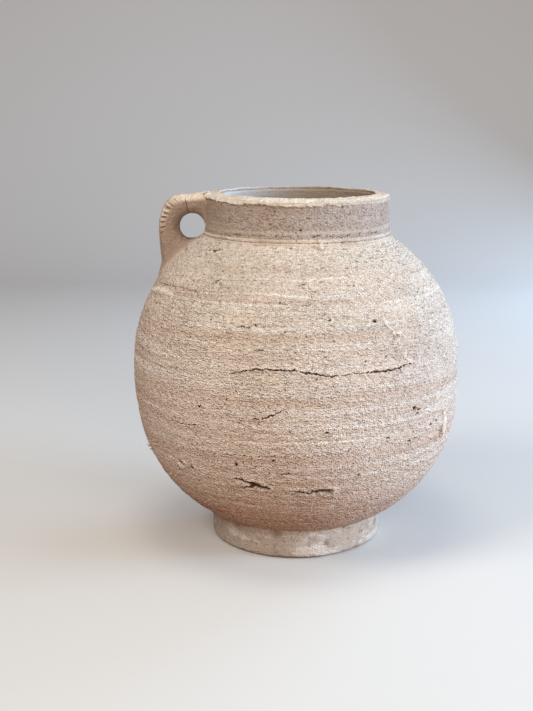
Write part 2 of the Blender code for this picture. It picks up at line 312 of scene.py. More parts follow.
ridges = {  # pale smooth smears that stand a little proud, as the scars
    "longSmear": [(-37.1, 163.3, 0.6), (-21.6, 164.7, 0.8), (-12.8, 164.8, 1.2), (-2.1, 164.1, 1.2),
        (5.8, 163.6, 0.8)],
    "rightSmear": [(-33.7, 171.6, 0.7), (-14, 172.3, 0.6), (1.8, 171.9, 0.7), (8, 172.1, 1.2),
        (14.4, 172.6, 1.3), (22, 172.7, 0.8)],
    "lowSmear": [(-30, 84, 0.4), (-17.9, 84.8, 0.6), (1.5, 85.9, 0.5), (17.7, 86.3, 0.65), (30, 86, 0.4)],
    "flap": [(-78.8, 157.4, 1.6), (-68.3, 159.4, 2.6), (-60.5, 159.8, 2.4), (-54.2, 159.6, 0.8)],
    "lowRidge": [(-42.6, 71.5, 0.5), (-35.4, 71.9, 0.4)],
    "gougeFlake": [(60.9, 90, 1.2), (61.6, 85.9, 2.0), (62.4, 80.1, 2.4), (62.4, 75.1, 1.4)],
    "neckBase": [(-80, 195.6, 1.6), (-40, 195, 1.8), (0, 195, 1.8), (40, 195, 1.8), (80, 195.4, 1.6)],
    "flakeEdge": [(32.6, 148.8, 0.9), (34, 144.8, 1.1), (35.6, 143, 1.2), (38.9, 143.2, 0.9)],
    "pitRim": [(25.6, 153.6, 0.6), (27, 152.4, 0.8), (27.6, 151.8, 0.6)],
    "chip": [(38.8, 133.9, 0.7), (38.2, 130.2, 0.9), (39.7, 127.1, 0.9), (41.9, 125.9, 0.6)],
    "lowChip": [(38.9, 119.5, 0.8), (39, 115, 0.6)],
    "underCrack": [(11.8, 120.8, 0.9), (13, 119.9, 1.1), (14.3, 118.1, 0.7)],
    "thinSmear": [(15.6, 108.9, 0.5), (22.3, 109.1, 0.6), (31.4, 108.4, 0.5)],
}
crumbs = {  # loose bits of clay fired on: degrees from the front, height in mm: half size in mm
    (12.4, 191): 1.3, (13.2, 189): 1.8, (14.3, 187.2): 1.3, (-5.5, 190.0): 0.7, (-2, 189.6): 0.6,
    (21, 189.8): 0.6, (3.6, 53.1): 0.9, (8.8, 54.2): 0.8, (-56.8, 52.2): 1.0, (-71, 64.7): 1.2,
    (-70, 62.6): 0.9, (-12, 55.6): 0.8, (24, 122.6): 0.7, (13, 121.8): 0.8, (37, 141.6): 0.8,
}
lineSettings = {
    "steps": 12,  # points from one place to the next
    "pitReach": 0.2,  # degrees: a pit is a very short line
    "thinRidge": 1.5 * mm,  # narrower ridges get finer faces, as the scars do
    "shrink": 0.3,  # each round of refining reaches less far
}


def onSkin(azimuth, height):
    z = height * mm
    radius = np.where(z > form["seatHeight"], form["neckRadius"], bodyRadius(z))
    radius = np.where(z < form["footTop"], form["footRadius"], radius)
    turn = np.radians(azimuth)
    swell, lean = bodyShift(turn, z)
    lean = np.where(z > form["seatHeight"], form["neckLean"], lean)
    return np.column_stack([(radius + swell) * np.sin(turn) + lean, -(radius + swell) * np.cos(turn), z])


def scarLines():
    points, halves, cuts, edges = [], [], [], []
    for line, cut in [(s, 1.0) for s in scars.values()] + [(s, 0.0) for s in ridges.values()]:
        line = np.array(line, float)
        stops = np.arange(len(line))
        places = np.linspace(0, len(line) - 1, lineSettings["steps"] * (len(line) - 1) + 1)
        azimuth, height, half = (np.interp(places, stops, column) for column in line.T)
        run = onSkin(azimuth, height)
        edges += [(len(points) + i, len(points) + i + 1) for i in range(len(run) - 1)]
        points += run.tolist()
        halves += half.tolist()
        cuts += [cut] * len(run)
    reach = lineSettings["pitReach"]
    for (azimuth, height), half in pits.items():
        ends = onSkin(np.array([azimuth - reach, azimuth + reach]), np.array([height, height]))
        edges.append((len(points), len(points) + 1))
        points += ends.tolist()
        halves += [half, half]
        cuts += [1.0, 1.0]
    mesh = bpy.data.meshes.new("scarLines")
    mesh.from_pydata(points, edges, [])
    storeValues(mesh, "halfWidth", np.array(halves, np.float32) * mm)
    storeValues(mesh, "cut", cuts)  # 1 on scars, 0 on ridges
    return newObject("scarLines", mesh)


def refine(mesh, lines, reach, rounds):  # finer faces beside the scars
    cut, half = (lines.data.attributes[name].data for name in ("cut", "halfWidth"))
    thin = lineSettings["thinRidge"]
    fine = [v for v in lines.data.vertices if cut[v.index].value or half[v.index].value < thin]
    tree = KDTree(len(fine))
    for vertex in fine:
        tree.insert(vertex.co, vertex.index)
    tree.balance()
    with editing(mesh) as work:
        for done in range(rounds):
            limit = reach * (1 - lineSettings["shrink"] * done)
            near = {v for v in work.verts if tree.find(v.co)[2] < limit}
            edges = [e for e in work.edges if e.verts[0] in near and e.verts[1] in near]
            bmesh.ops.subdivide_edges(work, edges=edges, cuts=1, use_grid_fill=True)


# Geometry Nodes: the skin of thrown clay, its turning lines, torn grit and scars

def newTree(name, inputs):  # inputs: the kind of socket for each name
    tree = bpy.data.node_groups.new(name, "GeometryNodeTree")
    tree.interface.new_socket("Geometry", in_out="OUTPUT", socket_type="NodeSocketGeometry")
    for label, kind in {"Geometry": "Geometry", **inputs, "Clay": "Material"}.items():
        tree.interface.new_socket(label, in_out="INPUT", socket_type="NodeSocket" + kind)
    return tree, addNode(tree, "NodeGroupInput").outputs


def carried(tree, name, kind="FLOAT"):  # what a mesh carries under a name
    return addNode(tree, "GeometryNodeInputNamedAttribute", {"data_type": kind}, {"Name": name}).outputs[0]


def moveNode(tree, geometry, offset):
    return addNode(tree, "GeometryNodeSetPosition", {}, {"Geometry": geometry, "Offset": offset}).outputs[0]


def realNode(tree, geometry):
    return addNode(tree, "GeometryNodeRealizeInstances", {}, {"Geometry": geometry}).outputs[0]


def closeTree(tree, geometry, clay):
    done = addNode(tree, "GeometryNodeSetMaterial", {}, {"Geometry": geometry, "Material": clay})
    addNode(tree, "NodeGroupOutput", {}, {"Geometry": done.outputs[0]})
    return tree


skinLayers = {  # size of the marks across and up in mm, detail
    "Wobble": (70.0, 60.0, 1.0),
    "Rings": (260.0, 2.6, 3.0),
    "Streaks": (24.0, 2.2, 2.0),
    "Grit": (2.4, 2.0, 2.0),
}
skinForm = {
    "roughness": 0.55, "patch": 30.0,  # mm, size of the rougher places
    "patchSpan": (0.3, 0.7, 0.45, 1.4),  # noise from and to, strength of the marks from and to
    "cap": 0.22 * mm, "capSoft": 0.2 * mm,  # the hand pressed the highest places flat
    "frayScale": 420.0, "frayDetail": 3.0,
    "groove": (1.25, 0.1), "edge": (3.2, 1.3),  # half widths from a line: where each starts, where it is full
}


def skinValues(wobble, rings, streaks, grit, depth, edge, fray, ridge=0.0):
    return {"Wobble": wobble * mm, "Rings": rings * mm, "Streaks": streaks * mm, "Grit": grit * mm,
            "Scar Fray": fray * mm,
            "Scar Depth": depth, "Scar Edge": edge, "Ridge": ridge}  # these in half widths


def skinTree():
    s = skinForm
    sizes = [*skinLayers, "Scar Depth", "Scar Edge", "Scar Fray", "Ridge"]
    tree, given = newTree("thrownSkin", {**dict.fromkeys(sizes, "Float"), "Scars": "Object"})
    combine, span = partial(mathNode, tree), partial(spanNode, tree)
    place = addNode(tree, "GeometryNodeInputPosition").outputs[0]
    patch = noiseNode(tree, place, 1000 / s["patch"], 1.0, signed=False)[0]
    patch = span(patch, *s["patchSpan"])
    height = 0.0
    for name, (across, up, detail) in skinLayers.items():
        spot = vectorNode(tree, "MULTIPLY", place, (1000 / across, 1000 / across, 1000 / up))
        level = noiseNode(tree, spot, 1.0, detail, s["roughness"])[0]
        if name != "Wobble":
            level = combine("MULTIPLY", level, patch)
        height = combine("MULTIPLY_ADD", level, given[name], height)
    height = combine("SMOOTH_MIN", height, s["cap"], s["capSoft"])
    height = combine("MULTIPLY", height, carried(tree, "skin"))
    # scars: distance to the lines, frayed by a fine noise
    fray = noiseNode(tree, place, s["frayScale"], s["frayDetail"])["Color"]
    query = vectorNode(tree, "ADD", place, vectorNode(tree, "SCALE", fray, given["Scar Fray"]))
    marks = addNode(tree, "GeometryNodeObjectInfo", {}, {"Object": given["Scars"]}).outputs["Geometry"]
    away = addNode(tree, "GeometryNodeProximity", {"target_element": "EDGES"},
                   {0: marks, "Sample Position": query}).outputs["Distance"]
    nearest = addNode(tree, "GeometryNodeSampleNearest", {"domain": "POINT"},
                      {"Geometry": marks, "Sample Position": query}).outputs[0]

    def ofNearest(name):  # what the nearest point of the lines carries
        return addNode(tree, "GeometryNodeSampleIndex", {"data_type": "FLOAT", "domain": "POINT"},
                       {"Geometry": marks, "Value": carried(tree, name), "Index": nearest}).outputs[0]

    half, cut = ofNearest("halfWidth"), ofNearest("cut")
    away = combine("DIVIDE", away, half)
    groove = span(away, *s["groove"], soft=True)
    scar = combine("MULTIPLY", groove, cut)
    smear = combine("SUBTRACT", groove, scar)
    edge = combine("MULTIPLY", span(away, *s["edge"], soft=True), cut)
    for share, amount, sign in ((edge, "Scar Edge", "ADD"), (smear, "Ridge", "ADD"),
                                (scar, "Scar Depth", "SUBTRACT")):
        size = combine("MULTIPLY", combine("MULTIPLY", half, given[amount]), share)
        height = combine(sign, height, size)
    marked = given["Geometry"]
    for name, value in (("scar", scar), ("smear", smear)):
        marked = addNode(tree, "GeometryNodeStoreNamedAttribute", {"data_type": "FLOAT", "domain": "POINT"},
                         {"Geometry": marked, "Name": name, "Value": value}).outputs[0]
    offset = vectorNode(tree, "SCALE", carried(tree, "outward", "FLOAT_VECTOR"), height)
    return closeTree(tree, realNode(tree, moveNode(tree, marked, offset)), given["Clay"])


grainForm = {
    "least": (0.7, 0.6, 0.35), "most": (1.6, 1.0, 0.6),  # a grain's shape along, across and out of the skin
    "raggedScale": 1500.0, "outsideSkin": 0.95,
}


def grainTree():  # sand grains that stand out of the skin
    s = grainForm
    sizes = ("Density", "Smallest", "Largest", "Ragged")
    tree, given = newTree("standingGrains", {**dict.fromkeys(sizes, "Float"), "Seed": "Int"})
    outside = addNode(tree, "FunctionNodeCompare", {"operation": "GREATER_THAN"},
                      {0: carried(tree, "skin"), 1: s["outsideSkin"]})
    dots = addNode(tree, "GeometryNodeDistributePointsOnFaces", {"distribute_method": "RANDOM"},
                   {"Mesh": given["Geometry"], "Selection": outside.outputs[0], "Density": given["Density"],
                    "Seed": given["Seed"]})
    grain = addNode(tree, "GeometryNodeMeshIcoSphere", {}, {"Radius": 1.0, "Subdivisions": 1})
    size = addNode(tree, "FunctionNodeRandomValue", {"data_type": "FLOAT"},
                   {2: given["Smallest"], 3: given["Largest"], "Seed": given["Seed"]})
    shape = addNode(tree, "FunctionNodeRandomValue", {"data_type": "FLOAT_VECTOR"},
                    {0: s["least"], 1: s["most"], "Seed": given["Seed"]})
    scale = vectorNode(tree, "SCALE", shape.outputs[0], size.outputs[1])
    stuck = addNode(tree, "GeometryNodeInstanceOnPoints", {},
                    {"Points": dots.outputs[0], "Instance": grain.outputs[0],
                     "Rotation": dots.outputs["Rotation"], "Scale": scale})
    place = addNode(tree, "GeometryNodeInputPosition").outputs[0]
    ragged = noiseNode(tree, place, s["raggedScale"], 0.0)["Color"]
    offset = vectorNode(tree, "SCALE", ragged, given["Ragged"])
    return closeTree(tree, moveNode(tree, realNode(tree, stuck.outputs[0]), offset), given["Clay"])


def applyTree(piece, tree, values):  # run a tree on an object and keep the plain mesh
    modifier = piece.modifiers.new(tree.name, "NODES")
    modifier.node_group = tree
    for item in tree.interface.items_tree:
        if item.in_out == "INPUT" and item.name in values:
            modifier[item.identifier] = values[item.name]
    piece.update_tag()
    evaluated = piece.evaluated_get(bpy.context.evaluated_depsgraph_get())
    mesh = bpy.data.meshes.new_from_object(evaluated)
    mesh.materials.clear()  # drops the empty slot the tree leaves first
    mesh.materials.append(values["Clay"])
    piece.modifiers.clear()
    piece.data = mesh
    return piece


weldReach = 0.001 * mm
sharpFrom = 70  # degrees, keeps the seam's edge from darkening


def finishPiece(piece, slot, *nodes):
    with editing(piece.data) as work:
        bmesh.ops.remove_doubles(work, verts=work.verts, dist=weldReach)
    for name in ("outward", "skin"):
        if name in piece.data.attributes:
            piece.data.attributes.remove(piece.data.attributes[name])
    piece.data.shade_smooth()
    piece.data.set_sharp_from_angle(angle=math.radians(sharpFrom))
    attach(piece, "root")
    if nodes:
        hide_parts(*nodes)
    triangles = sum(len(p.vertices) - 2 for p in piece.data.polygons)
    print("made", piece.name, triangles, "triangles")


# Unglazed earthenware: dry open clay with sand, to the eye a dull even grain with dark pits and pale smears;
# pits and scars are darkened with painted shade

reliefShadingTint = (0.82, 1.0, 1.12)  # red, green, blue: low places are browner, high ones paler, partly the grain's own tone, partly painted shade in the low places and painted highlight on the high ones
clayMarks = {  # spots: cell's size across and up in mm, spot's share of its cell
    "tornScale": 1100.0, "tornReach": 0.3 * mm,  # the ragged edge of every spot
    "spotLeast": 0.6, "spotCore": 0.45,
    "smearShare": 0.75,
    "coarse": (3.2, 2.2), "coarseShare": 0.3, "cell": (1.1, 0.9),  # sizes in grains
    "dome": (0.75, 0.2), "domeHeight": 2.4, "lowGrains": 0.3,
    "height": (0.09, 0.15),  # metres: dashes and drag fade below this, standing grains grow
    "lowDrag": 0.3, "lowLumps": 1.6,
    "standing": (2.4, 2.2, 0.3), "standingHeight": 1.1,
    "patch": (34, 16), "patchSpan": (0.3, 0.66, 0.3),
    "pit": (2.9, 2.5, 0.27), "smallPit": (1.8, 1.6, 0.27), "smallDepth": 0.7,
    "dash": (6.5, 1.4, 0.27), "dashDepth": 0.6, "hollowDepth": 1.4,
    "drag": (4.0, 1.3), "dragTone": 0.15,
    "toneSpan": (-0.9, 1.3), "scarShadeSpan": (0.25, 0.65),
    "ior": 1.5, "specular": 0.2,  # dry clay hardly shines
}


def earthenware(name, look):
    m = clayMarks
    material, tree, shader = newMaterial(name)
    combine, span, mixed = (partial(node, tree) for node in (mathNode, spanNode, mixNode))
    place = addNode(tree, "ShaderNodeTexCoord").outputs["Object"]
    ragged = noiseNode(tree, place, m["tornScale"], 1.0)["Color"]
    torn = addNode(tree, "ShaderNodeVectorMath", {"operation": "MULTIPLY_ADD"},
                   {0: ragged, 1: [m["tornReach"]] * 3, 2: place}).outputs[0]

    def stretched(vector, across, up):
        return addNode(tree, "ShaderNodeMapping", {},
                       {"Vector": vector, "Scale": (1000 / across, 1000 / across, 1000 / up)}).outputs[0]

    def noiseAt(across, up, detail, roughness, signed=False):
        return noiseNode(tree, stretched(place, across, up), 1.0, detail, roughness, signed)[0]

    def cellsAt(across, up):  # distance from a cell's middle, two chances of its own
        cells = addNode(tree, "ShaderNodeTexVoronoi", {},
                        {"Vector": stretched(torn, across, up), "Scale": 1.0})
        chances = addNode(tree, "ShaderNodeSeparateColor", {}, {0: cells.outputs["Color"]}).outputs
        return cells.outputs["Distance"], chances[0], chances[1]

    def spotsAt(across, up, size, share):  # a few of many cells, each a ragged spot of its own size
        away, chance, width = cellsAt(across, up)
        reach = span(width, 0, 1, m["spotLeast"] * size, size)
        spot = span(away, reach, m["spotCore"] * size, soft=True)
        return combine("MULTIPLY", spot, combine("LESS_THAN", chance, share))

    def named(attribute):
        return addNode(tree, "ShaderNodeAttribute", {"attribute_name": attribute}).outputs["Fac"]

    colour = linear(look["clay"])
    for tone, across, up, low, high in look["tones"]:  # patches and streaks of other tones
        colour = mixed(span(noiseAt(across, up, 4.0, 0.6), low, high), colour, linear(tone))
    smear = combine("MULTIPLY", named("smear"), m["smearShare"])
    colour = mixed(smear, colour, linear(look["smear"]))
    # relief: sand grains each at its own height, standing grains, pits, dashes and drag lines
    coarse = noiseAt(*[look["grain"] * size for size in m["coarse"]], 2.0, 0.6, signed=True)
    away, chance, _ = cellsAt(*[look["grain"] * size for size in m["cell"]])
    dome = span(away, *m["dome"], most=m["domeHeight"], soft=True)
    relief = combine("MULTIPLY", dome, combine("SUBTRACT", chance, m["lowGrains"]))
    relief = combine("MULTIPLY_ADD", coarse, m["coarseShare"], relief)
    height = addNode(tree, "ShaderNodeSeparateXYZ", {}, {0: place}).outputs[2]
    lumps = span(height, *m["height"], m["lowLumps"], 1.0)
    standing = combine("MULTIPLY", spotsAt(*m["standing"], look["grainShare"]), lumps)
    patch = span(noiseAt(*m["patch"], 2.0, 0.5), *m["patchSpan"])
    patch = combine("MULTIPLY", patch, span(height, *m["height"], m["lowDrag"]))
    small = combine("MULTIPLY", spotsAt(*m["smallPit"], look["pitShare"]), m["smallDepth"])
    pit = combine("MAXIMUM", spotsAt(*m["pit"], look["pitShare"]), small)
    dash = combine("MULTIPLY", spotsAt(*m["dash"], look["dashShare"]), patch)
    dragged = noiseAt(*m["drag"], 2.0, 0.6, signed=True)
    dragged = combine("MULTIPLY", dragged, combine("MULTIPLY", patch, look["drag"]))
    hollow = combine("MAXIMUM", pit, combine("MULTIPLY", dash, m["dashDepth"]))
    relief = combine("MULTIPLY_ADD", standing, m["standingHeight"], relief)
    relief = combine("MULTIPLY_ADD", hollow, -m["hollowDepth"], relief)
    relief = combine("MULTIPLY_ADD", dragged, m["dragTone"], relief)
    relief = combine("MULTIPLY", relief, combine("SUBTRACT", 1.0, smear))
    if "fadeAndPaintedLight" in look:  # towards its neighbour's tone and grain where the piece runs out on it; the same mix paints shade inside the mouth, on the lip's face and on the neck beside the handle, and paints light on the handle's top and edge
        fadeAndPaintedLightShare = named("fadeAndPaintedLightShare")
        colour = mixed(fadeAndPaintedLightShare, colour, linear(look["fadeAndPaintedLight"]))
        # painted light: paler where the window's light falls inside the mouth
        colour = mixed(named("paintedWindowLight"), colour, linear(look["paintedWindowTone"]))
        grainy = span(fadeAndPaintedLightShare, 0, 1, 1.0, look["fadeGrain"])
        relief = combine("MULTIPLY", relief, grainy)
        hollow = combine("MULTIPLY", hollow, combine("MINIMUM", grainy, 1.0))
    # the relief also sets the tone: partly the grain's own tone, partly painted shade in low places and
    # painted highlight on high ones
    level = span(relief, *m["toneSpan"])
    low = [1 - look["grainAndReliefShading"] * share for share in reliefShadingTint]
    high = [1 + look["grainAndReliefShading"] * share for share in reliefShadingTint]
    colour = mixed(1.0, colour, mixed(level, (*low, 1), (*high, 1)), "MULTIPLY")
    # painted shade: pits, dashes and scars are darkened towards the pit colour, as shade in these hollows
    scar = span(named("scar"), *m["scarShadeSpan"], soft=True)
    paintedHollowShade = combine("MAXIMUM", combine("MULTIPLY", hollow, look["pitPaintedShade"]), scar)
    tree.links.new(mixed(paintedHollowShade, colour, linear(look["pit"])), shader.inputs["Base Color"])
    relief = combine("ADD", relief, dragged)  # the drag is more relief than tone
    bump = addNode(tree, "ShaderNodeBump", {},
                   {"Strength": 1.0, "Distance": look["relief"] * mm, "Height": relief})
    tree.links.new(bump.outputs[0], shader.inputs["Normal"])
    shader.inputs["Roughness"].default_value = look["roughness"]
    shader.inputs["IOR"].default_value = m["ior"]
    shader.inputs["Specular IOR Level"].default_value = m["specular"]
    return material


# pit: the colour that pits, dashes and scars are darkened towards, painted shade
bodyLook = {
    "clay": "#ded1bf", "pit": "#664129", "smear": "#f0e8dc", "roughness": 0.92,
    "grain": 1.0, "relief": 0.76, "grainAndReliefShading": 0.49, "grainShare": 0.6,  # size and height in mm
    "pitShare": 0.085, "pitPaintedShade": 0.72, "dashShare": 0.6, "drag": 1.4,
    "tones": [  # tone, size across and up in mm, share of the noise
        ("#d6c4b2", 60, 40, 0.42, 0.72), ("#e6ddcf", 70, 3.0, 0.55, 0.8), ("#cfb7a1", 26, 3.5, 0.58, 0.82),
        ("#ece5da", 220, 1.8, 0.54, 0.7), ("#cfbaa6", 320, 9, 0.5, 0.68)],
}
lipLook = dict(
    bodyLook, clay="#e2d7c6", tones=[("#bfa88f", 40, 1.1, 0.5, 0.72)], pitShare=0.05, dashShare=0.2,
    drag=1.5, relief=0.4, grainAndReliefShading=0.2, fadeAndPaintedLight="#a08f7a", fadeGrain=0.2, paintedWindowTone="#dcdad6")
# the foot's clay is set darker than its whitish tone: painted shade under the belly
footLook = dict(
    bodyLook, clay="#b8ab9b", tones=[("#968673", 10, 13, 0.5, 0.66), ("#d6cdc0", 18, 8, 0.5, 0.62)],
    pitShare=0.06, dashShare=0.0, grainShare=0.1, relief=0.22, drag=0.0, grainAndReliefShading=0.2)
# the neck is darker and greyer than the body
neckLook = dict(
    bodyLook, clay="#afa194", tones=[("#a89684", 30, 12, 0.45, 0.7), ("#c6b8a8", 60, 3, 0.56, 0.8)],
    relief=0.7, grain=1.3, drag=0.2, pitShare=0.04, dashShare=0.1, grainShare=0.9, grainAndReliefShading=0.4,
    smear="#bcae9d", fadeAndPaintedLight="#998875", fadeGrain=0.12, paintedWindowTone="#dcdad6")
beadLook = dict(neckLook, clay="#c8b9a7", relief=0.3, pitShare=0.06, grainShare=0.15, grainAndReliefShading=0.3)
# the handle's clay is darker than the body's: painted shade on its flanks; its fade tone is the body's tone
# near the fillet and painted light elsewhere
handleLook = dict(
    bodyLook, clay="#998574", tones=[("#877262", 9, 9, 0.5, 0.75)], pitShare=0.05, dashShare=0.0,
    grainShare=0.1, relief=0.2, drag=0.0, grainAndReliefShading=0.2, fadeAndPaintedLight="#dacbb7", fadeGrain=1.8, paintedWindowTone="#dcdad6")
grainLook = dict(
    bodyLook, clay="#d4c7b4", tones=[("#a68e78", 6, 6, 0.5, 0.6)], pitShare=0.0, dashShare=0.0,
    grainShare=0.0, relief=0.08, grainAndReliefShading=0.1, drag=0.0)

skinClay = earthenware("unglazedEarthenware", bodyLook)
neckClay = earthenware("darkerNeckEarthenware", neckLook)
slipClay = earthenware("smearedSlip", beadLook)
lipClay = earthenware("paleEarthenware", lipLook)
footClay = earthenware("scrapedEarthenware", footLook)
handleClay = earthenware("smoothedEarthenware", handleLook)
sandClay = earthenware("sandGrains", grainLook)
thrown = skinTree()
grains = grainTree()
lines = scarLines()
print("materials and node trees ready")


# Body: bowl from foot to seam with its floor, dome from seam to neck

bodySettings = {
    "columns": 640, "bowlSpacing": 1.36 * mm, "domeSpacing": 0.95 * mm, "insideSpacing": 5.0 * mm,
    "baseRings": (0.3, 0.6, 0.85), "floorRings": (0.8, 0.6, 0.4, 0.2),  # shares of the radius
    "baseSkin": 0.5, "insideSkin": 0.8,  # strength of the marks there
    "bowlLap": 3.0 * mm, "domeLap": 4.0 * mm, "seatDrop": 3.5 * mm,  # where the inner faces end
    "refineReach": 2.0 * mm, "refineRounds": 2,
    "skin": skinValues(0.9, 0.5, 0.24, 0.40, 2.2, 0.5, 0.7, 0.6),
}
fullTurn = around(bodySettings["columns"])
quarterTurn = fullTurn[::4]


def makeBody(name, rows, closed):
    mesh = skinMesh(name, rows, closed)
    refine(mesh, lines, bodySettings["refineReach"], bodySettings["refineRounds"])
    return applyTree(newObject(name, mesh), thrown, dict(bodySettings["skin"], Scars=lines, Clay=skinClay))


def insideRows(low, high):
    inside = insideCurve(low, high, bodySettings["insideSpacing"])[::-1]
    return [bodyRing(quarterTurn, *point, bodySettings["insideSkin"]) for point in inside], inside[-1][0]


def makeBowl():
    s = bodySettings
    base = form["baseHeight"]
    floor = base + form["floor"]
    outside = bodyCurve(base, form["seamHeight"], s["bowlSpacing"])
    pole = np.array([[0, 0, base]])
    rows = [(pole, np.array([[0, 0, -1.0]]), np.zeros(1))]
    edge = outside[0][0]
    rows += [ring(quarterTurn, edge * share, base, 0.0, -1.0, s["baseSkin"]) for share in s["baseRings"]]
    rows += [bodyRing(fullTurn, *point) for point in outside]
    inside, edge = insideRows(floor, form["seamHeight"] + s["bowlLap"])
    rows += inside
    rows += [ring(quarterTurn, edge * share, floor, 0.0, 1.0, s["insideSkin"]) for share in s["floorRings"]]
    rows.append((pole + (0, 0, form["floor"]), np.array([[0, 0, 1.0]]), np.zeros(1)))
    return makeBody("thrown_bowl", rows, False)


def makeDome():
    s = bodySettings
    seat = form["seatHeight"]
    rows = [bodyRing(fullTurn, *point) for point in bodyCurve(form["seamHeight"], seat, s["domeSpacing"])]
    rows.append(ring(quarterTurn, form["neckBore"], seat, -1.0, 0.0, 0.0))
    rows += insideRows(form["seamHeight"] + s["domeLap"], seat - s["seatDrop"])[0]
    return makeBody("thrown_dome", rows, True)


# Sand grains left standing on the body

grainSettings = {
    "tree": {"Density": 55000.0, "Smallest": 0.2 * mm, "Largest": 0.55 * mm, "Ragged": 0.2 * mm, "Seed": 7},
    "crumbSeed": 31, "crumbStands": 0.5, "crumbRagged": 0.16,  # in half sizes
    "clearance": 0.03 * mm,
}


def makeGrains(bodies):
    s = grainSettings
    mesh = bpy.data.meshes.new("standing_grains")
    work = bmesh.new()
    for body in bodies:
        work.from_mesh(body.data)
    work.to_mesh(mesh)
    work.free()
    piece = applyTree(newObject("standing_grains", mesh), grains, dict(s["tree"], Clay=sandClay))
    chance = np.random.default_rng(s["crumbSeed"])
    with editing(piece.data) as work:
        for (azimuth, height), half in crumbs.items():
            spot = Vector(onSkin(np.array([azimuth]), np.array([height]))[0])
            spot += Vector((spot.x, spot.y, 0)).normalized() * s["crumbStands"] * half * mm
            crumb = bmesh.ops.create_icosphere(work, subdivisions=2, radius=half * mm,
                                               matrix=Matrix.Translation(spot))["verts"]
            for vertex in crumb:
                vertex.co += Vector(chance.normal(0, s["crumbRagged"] * half * mm, 3))
    points = np.empty(len(piece.data.vertices) * 3, np.float32)
    piece.data.vertices.foreach_get("co", points)
    points = points.reshape(-1, 3)
    radius = np.hypot(points[:, 0], points[:, 1])
    limit = cadBox[1].x - s["clearance"]
    points[:, :2] *= np.minimum(1, limit / np.maximum(radius, mm))[:, None]  # stay inside the frame's belly
    piece.data.vertices.foreach_set("co", points.ravel())
    return piece


# Rings on the body: foot, neck, bead and lip. Each is a section carried round the axis

def sectionRows(angles, section, spacing):  # section: closed loop of (radius, height), arrays or numbers
    corners = [(np.broadcast_to(r, angles.shape), np.broadcast_to(z, angles.shape)) for r, z in section]
    rows = []
    for (r0, z0), (r1, z1) in zip(corners, corners[1:] + corners[:1]):
        steps = max(1, round(float(np.hypot(r1 - r0, z1 - z0).max()) / spacing))
        outR = float((z1 - z0).mean())
        outZ = float((r0 - r1).mean())
        size = math.hypot(outR, outZ)
        for step in range(steps):
            share = step / steps
            radius, height = r0 + (r1 - r0) * share, z0 + (z1 - z0) * share
            rows.append(ring(angles, radius, height, outR / size, outZ / size))
    return rows


def roundSection(rows, times):  # soften the corners of a section
    for _ in range(times):
        points = np.array([row[0] for row in rows])
        outs = np.array([row[1] for row in rows])
        points = (np.roll(points, 1, 0) + 2 * points + np.roll(points, -1, 0)) / 4
        outs = (np.roll(outs, 1, 0) + 2 * outs + np.roll(outs, -1, 0)) / 4
        rows = [(p, o, row[2]) for p, o, row in zip(points, outs, rows)]
    return rows


def leanNeck(rows):
    return [(points + (form["neckLean"], 0, 0), out, skin) for points, out, skin in rows]


def placed(radius, height, points):  # points in mm, set at a radius and a height
    return [(radius + out * mm, height + up * mm) for out, up in points]


mouthShade = {"blend": 0.6 * mm, "pale": 0.8, "paleAt": (-108, 34)}  # the mouth's inside takes painted shade; painted light makes it paler at the left, where the window's light falls


def makeRing(name, rows, clay, skin, inside=0.0, wearAndPaintedLight=None):
    mesh = skinMesh(name, rows, closed=True)
    points = np.array([v.co for v in mesh.vertices]) - (form["neckLean"], 0, 0)
    radius = np.hypot(points[:, 0], points[:, 1])
    turn = np.arctan2(points[:, 0], -points[:, 1])
    inner = ramp(radius, inside + mouthShade["blend"], inside - mouthShade["blend"])
    outer = wearAndPaintedLight(turn, radius) if wearAndPaintedLight else 0.0
    storeValues(mesh, "fadeAndPaintedLightShare", np.maximum(inner, outer))  # 1 on the inner side, for painted shade inside the mouth; less on the outside, where rubbed and painted darker
    storeValues(mesh, "paintedWindowLight", mouthShade["pale"] * inner * hump(turn, *mouthShade["paleAt"]))
    return applyTree(newObject(name, mesh), thrown, dict(skin, Scars=lines, Clay=clay))


footSettings = {
    "columns": 480, "spacing": 0.8 * mm, "wall": 11.5 * mm, "clearance": 0.2 * mm, "skinRoom": 0.35 * mm,
    "wave": [(3, 9, 0.25 * mm), (4, 60, 0.12 * mm)], "lift": (5, 40, 0.25 * mm),  # seed, knots, size
    "skin": skinValues(0.5, 0.10, 0.12, 0.20, 1.0, 0.0, 1.2),
}


def makeFoot():
    s = footSettings
    angles = around(s["columns"])
    outer = form["footRadius"] - s["skinRoom"]
    inner = outer - s["wall"]
    low, top = s["clearance"], form["footTop"]
    wave = unevenSum(angles, s["wave"])
    lift = np.abs(uneven(angles, *s["lift"]))
    section = placed(outer + wave, low, [(-1.8, 0)]) + placed(outer + wave, low + lift, [(-0.4, 1.2)])
    section += placed(outer + wave, 0, [(0, 6)]) + placed(outer, top, [(0, 0), (-4, 0)])
    section += placed(inner, 0, [(0, 12.5)]) + placed(inner, low, [(0, 1.4), (1.4, 0)])
    rows = roundSection(sectionRows(angles, section, s["spacing"]), 2)
    rows = [(p, o * ramp(p[:, 2:], low, low + mm), skin) for p, o, skin in rows]  # flat standing face
    return makeRing("turned_foot", rows, footClay, s["skin"])


